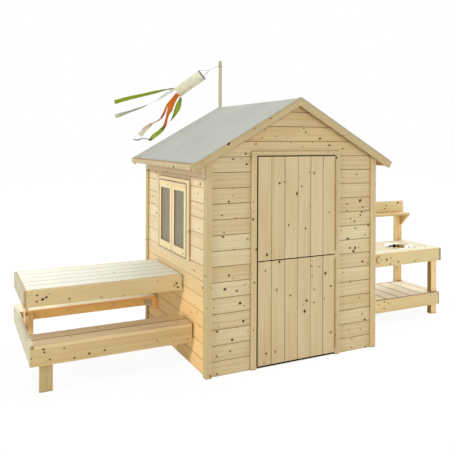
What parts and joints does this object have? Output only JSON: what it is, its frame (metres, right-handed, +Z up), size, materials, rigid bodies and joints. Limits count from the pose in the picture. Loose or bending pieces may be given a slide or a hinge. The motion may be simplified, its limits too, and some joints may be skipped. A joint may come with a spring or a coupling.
{
  "type": "garden playhouse",
  "caption": "Clad timber playhouse with a stable door, side window, felt roof, windsock, picnic table with benches and a play kitchen.",
  "frame": {"origin": "on the ground under the middle of the house, on the underside of the floor's middle bearer", "axes": "+X to the right of someone who faces the door, towards the play kitchen; +Y from the door to the back wall; +Z up"},
  "size_m": [3.122, 1.5401, 1.985],
  "materials": {
    "wall_wood": "planed",
    "trim_wood": "planed",
    "table_wood": "planed",
    "inner_wood": "sawn",
    "knob_wood": "turned",
    "roof_felt": "mineral felt",
    "pane": "frosted",
    "hinge_steel": "brassed steel",
    "bowl_steel": "polished",
    "cord": "thin cord",
    "sock_cloth": "light cloth",
    "green_cloth": "light cloth",
    "white_cloth": "light cloth",
    "orange_cloth": "light cloth"
  },
  "bodies": {
    "house": {"floor": "inner_wood", "front_wall": "wall_wood", "back_wall": "wall_wood", "left_wall": "wall_wood", "right_wall": "wall_wood", "corner_trim_front_left": "trim_wood", "corner_trim_front_right": "trim_wood", "corner_trim_back_left": "trim_wood", "corner_trim_back_right": "trim_wood", "bargeboard_front_left": "trim_wood", "bargeboard_front_right": "trim_wood", "bargeboard_back_left": "trim_wood", "bargeboard_back_right": "trim_wood", "roof_panel_left": "inner_wood", "roof_panel_right": "inner_wood", "eave_fascia_left": "trim_wood", "eave_fascia_right": "trim_wood", "roof_felt": "roof_felt", "door_frame": "trim_wood", "lower_hinge_frame_half": "hinge_steel", "upper_hinge_frame_half": "hinge_steel", "window_frame": "trim_wood", "table_front_apron": "table_wood", "table_back_apron": "table_wood", "table_end_board": "table_wood", "table_top": "table_wood", "table_support": "table_wood", "bench_end_board": "table_wood", "bench_front_rail": "table_wood", "bench_front_seat": "table_wood", "bench_front_leg": "table_wood", "bench_back_rail": "table_wood", "bench_back_seat": "table_wood", "bench_back_leg": "table_wood", "worktop_frame": "table_wood", "worktop": "table_wood", "deck_frame": "table_wood", "deck_boards": "table_wood", "kitchen_front_leg": "table_wood", "kitchen_left_post": "table_wood", "kitchen_right_post": "table_wood", "splash_board": "table_wood", "shelf": "table_wood", "windsock_pole": "trim_wood"},
    "lower_door": {"lower_door_leaf": "wall_wood", "lower_hinge_leaf_half": "hinge_steel"},
    "upper_door": {"upper_door_leaf": "wall_wood", "upper_hinge_leaf_half": "hinge_steel"},
    "front_window": {"front_sash": "trim_wood", "front_pane": "pane"},
    "back_window": {"back_sash": "trim_wood", "back_pane": "pane"},
    "bowl": {"bowl": "bowl_steel"},
    "knob": {"knob": "knob_wood"},
    "windsock": {"bridle": "cord", "sock_tube": "sock_cloth", "streamer_green": "green_cloth", "streamer_white": "white_cloth", "streamer_orange": "orange_cloth", "streamer_short_green": "green_cloth"}
  },
  "joints": [
    {"name": "lower_door_hinge", "type": "hinge", "parent": "house", "child": "lower_door", "pos_m": [0.2836, -0.5556, 0.3275], "axis": [0, 0, 1], "range_deg": [0, 110]},
    {"name": "upper_door_hinge", "type": "hinge", "parent": "house", "child": "upper_door", "pos_m": [0.2836, -0.5556, 0.95], "axis": [0, 0, 1], "range_deg": [0, 110]},
    {"name": "front_sash_pivot", "type": "hinge", "parent": "house", "child": "front_window", "pos_m": [-0.6025, -0.237, 0.857], "axis": [0, 0, 1], "range_deg": [0, 110]},
    {"name": "back_sash_pivot", "type": "hinge", "parent": "house", "child": "back_window", "pos_m": [-0.6025, 0.245, 0.857], "axis": [0, 0, -1], "range_deg": [0, 110]},
    {"name": "bowl_lift", "type": "slide", "parent": "house", "child": "bowl", "axis": [0, 0, 1], "range_m": [0, 0.12]},
    {"name": "knob_turn", "type": "hinge", "parent": "house", "child": "knob", "pos_m": [0.946, -0.1983, 0.4715], "axis": [0, -1, 0], "continuous": true},
    {"name": "windsock_swivel", "type": "hinge", "parent": "house", "child": "windsock", "pos_m": [0.008, 0.5815, 1.942], "axis": [0, 0, 1], "range_deg": [-125, 15]}
  ]
}
